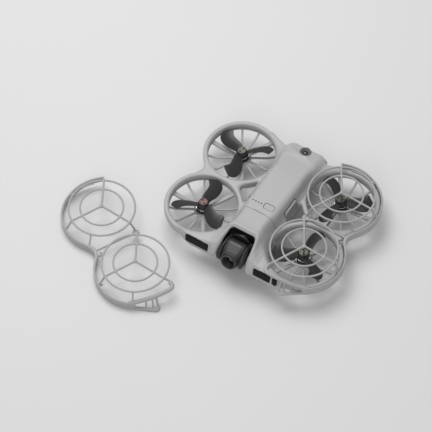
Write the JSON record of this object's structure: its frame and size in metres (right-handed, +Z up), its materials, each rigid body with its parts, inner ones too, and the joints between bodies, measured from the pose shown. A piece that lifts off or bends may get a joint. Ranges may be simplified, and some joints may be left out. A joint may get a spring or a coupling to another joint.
{
  "type": "ducted camera drone",
  "caption": "Palm-size ducted quadcopter with a tilting camera, a lift-out battery and clip-on propeller guards, one of them taken off and lying beside it.",
  "frame": {"origin": "on the floor under the middle of the drone's four motors", "axes": "-Y the way the camera looks; +X to the right of someone who faces the camera, towards the fitted guard; +Z up. Left and right in the node names are that person's."},
  "size_m": [0.2471, 0.214, 0.0415],
  "materials": {
    "frame_plastic": "light neutral grey, satin",
    "belly_plastic": "mid grey, matte",
    "grille_plastic": "mid grey, satin",
    "stator_steel": "bare metal ring and wound core",
    "bell_metal": "black, semi-gloss",
    "propeller_plastic": "charcoal, satin",
    "screw_steel": "dark steel",
    "cap_metal_warm": "warm rose anodised, polished",
    "cap_metal_grey": "light grey, matte",
    "window_tint": "black, glossy",
    "lens_ring": "dark grey ring, satin",
    "lens_tint": "black glass, polished",
    "socket_steel": "drawn steel",
    "circuit_board": "green solder mask",
    "heat_sink_metal": "cast, bare",
    "antenna_ceramic": "cream ceramic",
    "contact_metal": "gilded",
    "gimbal_motor": "black, satin",
    "gimbal_plastic": "black, satin",
    "camera_plastic": "black, satin",
    "barrel_plastic": "black, glossy",
    "bezel_plastic": "dark grey, satin",
    "battery_plastic": "light neutral grey, satin",
    "cell_wrap": "grey shrink wrap",
    "led_plastic": "clear white",
    "button_plastic": "light grey, satin",
    "latch_plastic": "mid grey, matte",
    "guard_plastic": "light grey, satin"
  },
  "bodies": {
    "frame": {"upper_frame": "frame_plastic", "lower_frame": "belly_plastic", "grille_front_left": "grille_plastic", "grille_front_right": "grille_plastic", "grille_rear_left": "grille_plastic", "grille_rear_right": "grille_plastic", "frame_screws": "screw_steel", "front_window_left": "window_tint", "front_window_right": "window_tint", "rear_lens_housing": "lens_ring", "rear_lens_glass": "lens_tint", "belly_sensor_window": "window_tint", "usb_socket": "socket_steel", "main_board": "circuit_board", "heat_sink": "heat_sink_metal", "gnss_antenna": "antenna_ceramic", "battery_contacts": "contact_metal", "roll_motor": "gimbal_motor", "motor_stator_front_left": "stator_steel", "motor_stator_front_right": "stator_steel", "motor_stator_rear_left": "stator_steel", "motor_stator_rear_right": "stator_steel"},
    "rotor_front_left": {"rotor_bell_front_left": "bell_metal", "propeller_front_left": "propeller_plastic", "rotor_cap_front_left": "cap_metal_warm", "cap_screws_front_left": "screw_steel"},
    "rotor_front_right": {"rotor_bell_front_right": "bell_metal", "propeller_front_right": "propeller_plastic", "rotor_cap_front_right": "cap_metal_grey", "cap_screws_front_right": "screw_steel"},
    "rotor_rear_left": {"rotor_bell_rear_left": "bell_metal", "propeller_rear_left": "propeller_plastic", "rotor_cap_rear_left": "cap_metal_grey", "cap_screws_rear_left": "screw_steel"},
    "rotor_rear_right": {"rotor_bell_rear_right": "bell_metal", "propeller_rear_right": "propeller_plastic", "rotor_cap_rear_right": "cap_metal_warm", "cap_screws_rear_right": "screw_steel"},
    "gimbal_roll": {"gimbal_yoke": "gimbal_plastic", "tilt_motor": "gimbal_motor"},
    "camera": {"camera_housing": "camera_plastic", "lens_barrel": "barrel_plastic", "lens_bezel": "bezel_plastic", "lens_glass": "lens_tint", "image_sensor": "circuit_board"},
    "battery": {"battery_shell": "battery_plastic", "battery_cells": "cell_wrap", "battery_board": "circuit_board", "led_lenses": "led_plastic"},
    "power_button": {"power_button": "button_plastic"},
    "battery_latch_left": {"battery_latch_left": "latch_plastic"},
    "battery_latch_right": {"battery_latch_right": "latch_plastic"},
    "guard_right": {"guard_right": "guard_plastic"},
    "guard_left": {"guard_left": "guard_plastic"}
  },
  "joints": [
    {"name": "spin_front_left", "type": "hinge", "parent": "frame", "child": "rotor_front_left", "pos_m": [-0.05, -0.0322, 0.02], "axis": [0, 0, 1], "continuous": true},
    {"name": "spin_front_right", "type": "hinge", "parent": "frame", "child": "rotor_front_right", "pos_m": [0.05, -0.0322, 0.02], "axis": [0, 0, 1], "continuous": true},
    {"name": "spin_rear_left", "type": "hinge", "parent": "frame", "child": "rotor_rear_left", "pos_m": [-0.05, 0.0322, 0.02], "axis": [0, 0, 1], "continuous": true},
    {"name": "spin_rear_right", "type": "hinge", "parent": "frame", "child": "rotor_rear_right", "pos_m": [0.05, 0.0322, 0.02], "axis": [0, 0, 1], "continuous": true},
    {"name": "camera_roll", "type": "hinge", "parent": "frame", "child": "gimbal_roll", "pos_m": [0, -0.0515, 0.028], "axis": [0, 1, 0], "range_deg": [-20, 20]},
    {"name": "camera_tilt", "type": "hinge", "parent": "gimbal_roll", "child": "camera", "pos_m": [0, -0.0615, 0.028], "axis": [1, 0, 0], "range_deg": [-60, 90]},
    {"name": "battery_lift", "type": "slide", "parent": "frame", "child": "battery", "axis": [0, 0, 1], "range_m": [0, 0.03]},
    {"name": "power_button_press", "type": "slide", "parent": "battery", "child": "power_button", "axis": [0, 0, -1], "range_m": [0, 0.0005], "stiffness_N_per_m": 400, "springref_m": -0.001},
    {"name": "latch_left_press", "type": "slide", "parent": "battery", "child": "battery_latch_left", "axis": [1, 0, 0], "range_m": [0, 0.0012], "stiffness_N_per_m": 500, "springref_m": -0.002},
    {"name": "latch_right_press", "type": "slide", "parent": "battery", "child": "battery_latch_right", "axis": [-1, 0, 0], "range_m": [0, 0.0012], "stiffness_N_per_m": 500, "springref_m": -0.002},
    {"name": "guard_right_lift", "type": "slide", "parent": "frame", "child": "guard_right", "axis": [0, 0, 1], "range_m": [0, 0.03]},
    {"name": "guard_left_lift", "type": "slide", "parent": "frame", "child": "guard_left", "axis": [0, 0, 1], "range_m": [0, 0.03]}
  ]
}
